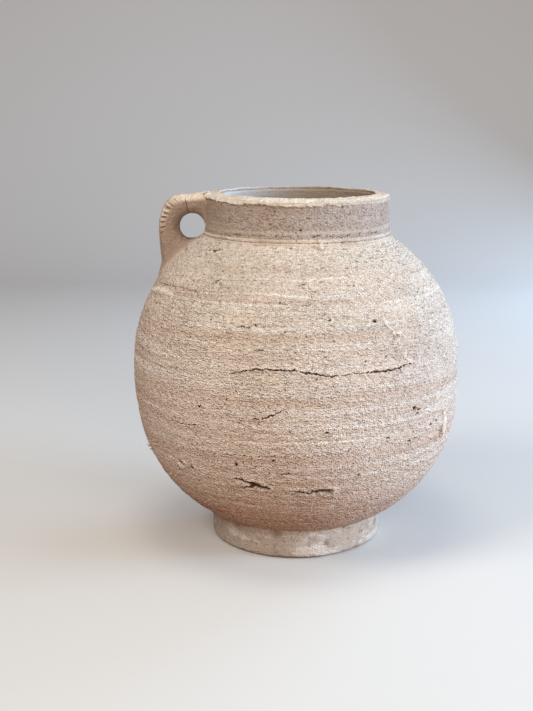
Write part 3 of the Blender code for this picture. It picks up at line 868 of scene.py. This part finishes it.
neckSettings = {
    "columns": 520, "spacing": 0.75 * mm, "skinRoom": 0.1 * mm,
    "wearAndPaintedLight": 0.65, "wearAndLightAt": (-78, 26),  # wiped smooth beside the handle, and darker there with painted shade where the handle meets the neck
    "insideFrom": 1.2 * mm,
    # beyond the neck's radius and above its seat, in mm
    "beadSpacing": 0.45 * mm, "beadSwell": [(11, 24, 0.18 * mm), (12, 90, 0.10 * mm)],
    "bead": [(2.4, -1.6), (1.7, 0.3), (1.2, 1.0), (0.2, 1.4), (1.1, 1.9), (1.0, 2.8), (0.25, 3.5),
             (-0.6, 3.9), (-2, -1.6)],
    "swollen": (1, 4),  # points of the bead that vary round the neck
    "skin": skinValues(0.5, 0.25, 0.25, 0.34, 1.8, 0.2, 1.0),
}


def makeNeck():
    s = neckSettings
    angles = around(s["columns"])
    outer, bore, mouth = form["neckRadius"] - s["skinRoom"], form["neckBore"], form["mouthRadius"]
    seat, top = form["seatHeight"], form["rimTop"]
    section = placed(outer, seat, [(1.6, -2), (0.5, 3), (0, 8), (-0.2, 15)])
    section += placed(outer, top, [(0, -3.6), (-3.5, -2.4)]) + placed(mouth, top, [(1.0, -1.4), (0.1, -2.0)])
    section += placed(bore, top, [(0, -12)]) + placed(bore, seat, [(0, -3)])
    rows = leanNeck(roundSection(sectionRows(angles, section, s["spacing"]), 1))

    def wearAndPaintedLight(turn, radius):
        return s["wearAndPaintedLight"] * hump(turn, *s["wearAndLightAt"])

    return makeRing("neck_wall", rows, neckClay, s["skin"], bore + s["insideFrom"], wearAndPaintedLight)


def makeBead():  # slip squeezed out under the neck, tooled into two ridges
    s = neckSettings
    angles = around(s["columns"])
    swell = unevenSum(angles, s["beadSwell"])
    section = placed(form["neckRadius"], form["seatHeight"], s["bead"])
    section = [(radius + swell * (i in s["swollen"]), height) for i, (radius, height) in enumerate(section)]
    rows = leanNeck(sectionRows(angles, section, s["beadSpacing"]))
    return makeRing("neck_bead", rows, slipClay, s["skin"])


lipSettings = {
    "columns": 720, "spacing": 0.55 * mm,
    "fall": 3.8 * mm, "crestDrop": 0.35 * mm,  # edge and crest, below the frame's rim
    "handleRise": 0.9 * mm, "edgeRise": 3.3 * mm, "handleAt": (-84.0, 33),  # climbs towards the handle
    "notchAt": (25.0, 0.6), "notchDepth": 1.0 * mm,
    "wornAt": (76, 42), "wornFullness": 1.7 * mm, "wornEdge": 0.8, "wornHang": 0.9,  # rubbed at the right
    "hang": 1.1 * mm, "hangCap": 0.4 * mm, "hangShare": 0.5,
    # seed, knots, size, soft or not
    "torn": [(20, 17, 0.75 * mm), (21, 70, 0.28 * mm, False), (22, 240, 0.3 * mm, False)],
    "crest": [(23, 14, 0.15 * mm), (24, 70, 0.10 * mm)],
    "insideFrom": 0.9 * mm, "faceShade": 0.15, "wornShade": 0.4,
    "skin": skinValues(0.5, 0.0, 0.25, 0.32, 1.5, 0.0, 1.0),
}


def makeLip():
    s = lipSettings
    angles = around(s["columns"])
    toHandle = hump(angles, *s["handleAt"])
    worn = hump(angles, *s["wornAt"])
    fuller = s["wornFullness"] * worn
    torn = unevenSum(angles, s["torn"]) - s["notchDepth"] * hump(angles, *s["notchAt"])
    crest = form["rimTop"] - s["crestDrop"] + s["handleRise"] * toHandle + unevenSum(angles, s["crest"])
    edge = form["rimTop"] - s["fall"] + s["edgeRise"] * toHandle + torn * (1 - s["wornEdge"] * worn)
    frayed = np.clip(torn, -s["hangCap"], s["hangCap"]) * s["hangShare"]
    hang = s["hang"] * (1 - s["wornHang"] * worn) + frayed * (1 - worn)
    outer, inner = form["neckRadius"], form["mouthRadius"]
    section = placed(outer, edge, [(-1.2, -1.6), (-0.1, -0.9)]) + placed(outer + hang, edge, [(0, -0.5)])
    section += placed(outer + hang, edge + fuller, [(-0.2, 0.1)])
    section += placed(outer, edge + fuller, [(-1.0, 0.9)])
    section += placed(inner, crest, [(3.5, -0.3), (0.6, 0), (0, -0.7), (0.8, -1.8), (4, -3)])
    rows = leanNeck(roundSection(sectionRows(angles, section, s["spacing"]), 1))

    def wearAndPaintedLight(turn, radius):  # painted shade: the outer face is darker than the top, most at the right
        return ramp(radius, outer - mm, outer) * (s["faceShade"] + s["wornShade"] * hump(turn, *s["wornAt"]))

    return makeRing("torn_lip", rows, lipClay, s["skin"], inner + s["insideFrom"], wearAndPaintedLight)


# Handle: one roll of clay round the finger loop, its sections seen from the loop's centre

handleSettings = {
    "loopCentre": (-62.7 * mm, 193.9 * mm), "loopRadius": 8.0 * mm,
    # direction from the loop's centre in degrees, distance of the outer edge in mm
    "outerEdge": [(-8, 13), (30, 14.5), (45, 17.5), (55, 21), (63, 23.6), (77, 21), (94, 19.5), (111, 20.5),
                  (127, 21.5), (138, 21.5), (159, 20.4), (180, 20.2), (196, 21.1), (211, 23.2), (223, 26.6),
                  (230, 29.6), (233.5, 36), (236, 41), (241, 33), (247, 22), (256, 14), (272, 12), (300, 11)],
    "halfWidth": [(-8, 6.5), (20, 7.2), (40, 8.6), (55, 9.0), (80, 7.4), (105, 7.0), (195, 7.0), (212, 7.4),
                  (228, 9), (245, 12), (270, 14), (300, 14)],
    "coarse": (-8, 300, 1.3), "fineBefore": 4, "fineTo": 196, "fineStep": 0.5,  # crack and pinches need more
    "apart": 0.3, "edgeSoft": 5, "widthSoft": 14,
    "columns": 96, "squareness": 0.85, "pinchDepth": 1.9 * mm, "fillet": 5.0 * mm,
    # direction of each pinch in degrees, its half width, its share of the depth, how far round it lies
    "pinches": [(113, 2.4, 0.45, 50), (122, 3.2, 0.9, 56), (132.5, 2.4, 0.7, 62), (142, 3.6, 1.0, 55),
                (152.5, 2.6, 0.8, 60), (161, 2.2, 0.9, 54), (171.5, 3.0, 0.6, 52), (181, 2.2, 0.6, 58),
                (192, 3.2, 0.35, 50)],
    "pinchLean": 0.09, "pinchRound": 32, "wearAndLightAt": (148.0, 34), "wearAndLightSide": (50, 34),
    "crackAt": 102.0, "crackDepth": 1.2 * mm, "crackHalf": 1.1,
    "wornAndLitShare": 0.45, "skinNear": 1.5,
    "skin": skinValues(0.6, 0.0, 0.20, 0.22, 0.0, 0.0, 0.0),
}
filletSettings = {
    "underBody": 0.4 * mm, "underNeck": 0.25 * mm,  # runs out a little under the skin
    "bodyShade": 0.6, "bodyReach": 0.5, "bodyFade": 2 * mm,
    "neckShade": 0.25, "neckReach": 0.7, "neckFade": (18 * mm, 12 * mm),
}


def filletFlare(points, fillet):  # how far the roll spreads where it meets body and neck
    s = filletSettings
    seat, z = form["seatHeight"], points[:, 2]
    radius = np.hypot(points[:, 0], points[:, 1])
    height = np.minimum(z, seat)
    bodyGap = (radius - bodyRadius(height)) / np.hypot(1, bodySlope(height)) + np.maximum(z - height, 0)
    neckGap = np.hypot(points[:, 0] - form["neckLean"], points[:, 1]) - form["neckRadius"]
    gap = np.minimum(bodyGap + s["underBody"], neckGap + s["underNeck"])
    reach = np.clip(fillet - gap, 0, fillet)
    nearBody = ramp(bodyGap, s["bodyReach"] * fillet, 0) * ramp(z, seat + s["bodyFade"], seat - s["bodyFade"])
    nearNeck = ramp(neckGap, s["neckReach"] * fillet, 0) * ramp(z, *[seat + rise for rise in s["neckFade"]])
    near = np.maximum(s["bodyShade"] * nearBody, s["neckShade"] * nearNeck)
    return fillet - np.sqrt(fillet ** 2 - reach ** 2), near


def handleDents(turn, section, bulge, flank):  # depth pressed into one section, share of the pinches
    s = handleSettings
    pinch = np.zeros(len(section))
    for at, width, share, side in s["pinches"]:
        for flip in (1, -1):
            across = flip * section + side
            reachIn = np.clip(1 - (across / s["pinchRound"]) ** 2, 0, 1) ** 2
            along = turn - at - s["pinchLean"] * across
            pinch += share * np.clip(1 - (along / width) ** 2, 0, 1) * reachIn
    crack = s["crackDepth"] * max(0, 1 - abs(turn - s["crackAt"]) / s["crackHalf"])
    crack = crack * np.clip(-1.5 * flank, 0, 1) * np.clip(1.4 - 1.6 * bulge, 0, 1)  # front only
    return s["pinchDepth"] * pinch + crack, pinch


def handleShade(turn, section, bulge, out, pinch):  # painted light: paler on top, where the light falls, and on the rubbed edge and outer rim, partly wear and partly painted highlight
    s = handleSettings
    (side, spread), (at, length) = s["wearAndLightSide"], s["wearAndLightAt"]
    wearAndPaintedLight = np.clip(1 - ((abs(section) - side) / spread) ** 2, 0, 1) * np.clip(1 - 2 * pinch, 0, 1)
    wearAndPaintedLight = wearAndPaintedLight * math.exp(-((turn - at) / length) ** 2)
    # the outer rim: partly wear, partly painted highlight
    worn = ramp(bulge, 0.8, 1.0) * ramp(turn, 110, 150) * ramp(turn, 236, 226)
    # painted light on the handle's top
    top = ramp(out[:, 2], 0.2, 0.45) * ramp(turn, 140, 120)
    return np.maximum(np.maximum(wearAndPaintedLight, s["wornAndLitShare"] * worn), top)


def makeHandle():
    s = handleSettings
    coarse = np.arange(*s["coarse"])
    fine = np.arange(s["crackAt"] - s["fineBefore"], s["fineTo"], s["fineStep"])
    before, after = coarse < fine[0] - s["apart"], coarse > fine[-1] + s["apart"]
    turns = np.concatenate([coarse[before], fine, coarse[after]])
    outerEdge = smoothSteps(s["outerEdge"], turns, s["edgeSoft"]) * mm
    halfWidth = smoothSteps(s["halfWidth"], turns, s["widthSoft"]) * mm
    loop = np.linspace(0, math.tau, s["columns"], endpoint=False)
    bulge, flank = (np.sign(wave) * abs(wave) ** s["squareness"] for wave in (np.cos(loop), np.sin(loop)))
    section = (np.degrees(loop) + 180) % 360 - 180
    centre = np.array([s["loopCentre"][0], 0, s["loopCentre"][1]])
    rows, fadeAndPaintedLightShare = [], []
    for turn, reach, half in zip(turns, outerEdge, halfWidth):
        middle, thick = (reach + s["loopRadius"]) / 2, (reach - s["loopRadius"]) / 2
        towards = np.array([math.cos(math.radians(turn)), 0, math.sin(math.radians(turn))])
        inward, pinch = handleDents(turn, section, bulge, flank)
        points = (middle + (thick - inward) * bulge)[:, None] * towards + centre
        points[:, 1] = (half - inward) * flank
        flare, near = filletFlare(points, s["fillet"])
        points[:, 1] += flare * flank
        out = bulge[:, None] * towards + flank[:, None] * np.array([0, 1.0, 0])
        out /= np.linalg.norm(out, axis=1)[:, None]
        # fades to the body's tone at the fillet and takes the painted light on top and on the edge
        fadeAndPaintedLightShare.append(np.maximum(near, handleShade(turn, section, bulge, out, pinch)))
        rows.append((points, out, 1 + s["skinNear"] * near))
    ends = [(row[0].mean(0, keepdims=True), row[1][:1] * 0, row[2][:1]) for row in (rows[0], rows[-1])]
    mesh = skinMesh("pinched_handle", [ends[0], *rows, ends[1]])
    storeValues(mesh, "fadeAndPaintedLightShare", np.concatenate([[1], *fadeAndPaintedLightShare, [1]]))
    with editing(mesh) as work:
        bmesh.ops.recalc_face_normals(work, faces=work.faces)
    piece = newObject("pinched_handle", mesh)
    return applyTree(piece, thrown, dict(s["skin"], Scars=lines, Clay=handleClay))


bowl = makeBowl()
dome = makeDome()
finishPiece(makeGrains([bowl, dome]), "fired_clay")
finishPiece(bowl, "fired_clay", "lower_bowl", "belly_slip")
finishPiece(dome, "fired_clay", "shoulder_dome")
finishPiece(makeFoot(), "scraped_clay", "foot_ring", "foot_slip")
finishPiece(makeNeck(), "fired_clay", "neck_collar")
finishPiece(makeBead(), "dried_slip", "neck_slip")
finishPiece(makeLip(), "pale_clay", "rim_coil", "rim_slip")
finishPiece(makeHandle(), "smoothed_clay", "handle_lug", "handle_bow", "handle_pad")
bpy.data.objects.remove(lines)
print("vase made")


# Studio: pale sweep, soft light from above and in front, a cooler window at the right

studio = {
    "pale": "#d0cec8", "bounce": "#8c5836", "world": "#f6f8ff", "worldStrength": 0.34,
    # place, size in metres, watts, colour
    "lamps": {
        "roomLight": ((0.35, -1.2, 0.5), 0.7, 7.5, "#fff6ee"),
        "leftLight": ((-0.9, -0.72, 1.1), 0.6, 11.2, "#fff7f0"),
        "windowLight": ((1.05, -0.25, 0.34), 0.5, 15.0, "#c9e1ff"),
        "rimLight": ((0.85, 0.85, 0.5), 0.7, 12.0, "#bedcff"),
        "topLight": ((-0.1, -0.2, 1.5), 0.5, 4.4, "#fff6e8"),
    },
    "target": (0, 0, 0.11),
}


def makeSweep():
    width, front, back, bend, top = 4.0, -3.0, 1.6, 0.6, 3.0
    turn = np.linspace(0, math.pi / 2, 13)
    profile = [(front, 0.0)] + [(back - bend + bend * math.sin(t), bend - bend * math.cos(t)) for t in turn]
    profile.append((back, top))
    points = [(x, y, z) for y, z in profile for x in (-width, width)]
    faces = [(2 * i, 2 * i + 1, 2 * i + 3, 2 * i + 2) for i in range(len(profile) - 1)]
    mesh = bpy.data.meshes.new("paper_sweep")
    mesh.from_pydata(points, [], faces)
    mesh.shade_smooth()
    material, tree, shader = newMaterial("paperSweep")
    path = addNode(tree, "ShaderNodeLightPath").outputs
    seen = mathNode(tree, "MAXIMUM", path["Is Camera Ray"], path["Is Glossy Ray"])
    seen = mathNode(tree, "MAXIMUM", seen, path["Is Transmission Ray"])
    colour = mixNode(tree, seen, linear(studio["bounce"]), linear(studio["pale"]))
    tree.links.new(colour, shader.inputs["Base Color"])
    shader.inputs["Roughness"].default_value = 1.0
    shader.inputs["Specular IOR Level"].default_value = 0.0
    mesh.materials.append(material)
    newObject("paper_sweep", mesh)


def makeLamps():
    for name, (place, size, watts, colour) in studio["lamps"].items():
        lamp = bpy.data.lights.new(name, "AREA")
        lamp.size = size
        lamp.energy = watts
        lamp.color = linear(colour)[:3]
        stand = newObject(name, lamp)
        stand.location = place
        stand.rotation_euler = (Vector(studio["target"]) - Vector(place)).to_track_quat("-Z", "Y").to_euler()
    world = bpy.data.worlds.new("studioAir")
    world.use_nodes = True
    world.node_tree.nodes["Background"].inputs["Color"].default_value = linear(studio["world"])
    world.node_tree.nodes["Background"].inputs["Strength"].default_value = studio["worldStrength"]
    bpy.context.scene.world = world


view = {  # fitted to the photo's frame of 533 by 711 pixels
    "place": (0, -0.69732, 0.26795), "pitch": 12.507, "yaw": 1.4768, "roll": 0.183,
    "focalPixels": 1147.49, "framePixels": 711, "sensor": 36.0,
}


def makeCamera():
    camera = bpy.data.cameras.new("photoCamera")
    camera.sensor_width = view["sensor"]
    camera.lens = view["focalPixels"] / view["framePixels"] * view["sensor"]
    camera.clip_start = 0.01
    stand = newObject("photoCamera", camera)
    turn = Matrix.Rotation(math.radians(view["yaw"]), 4, "Z")
    turn = turn @ Matrix.Rotation(math.radians(90 - view["pitch"]), 4, "X")
    turn = turn @ Matrix.Rotation(math.radians(-view["roll"]), 4, "Z")
    stand.matrix_world = Matrix.Translation(view["place"]) @ turn
    bpy.context.scene.camera = stand


makeSweep()
makeLamps()
makeCamera()
bpy.context.scene.view_settings.view_transform = "Standard"
print("studio ready")
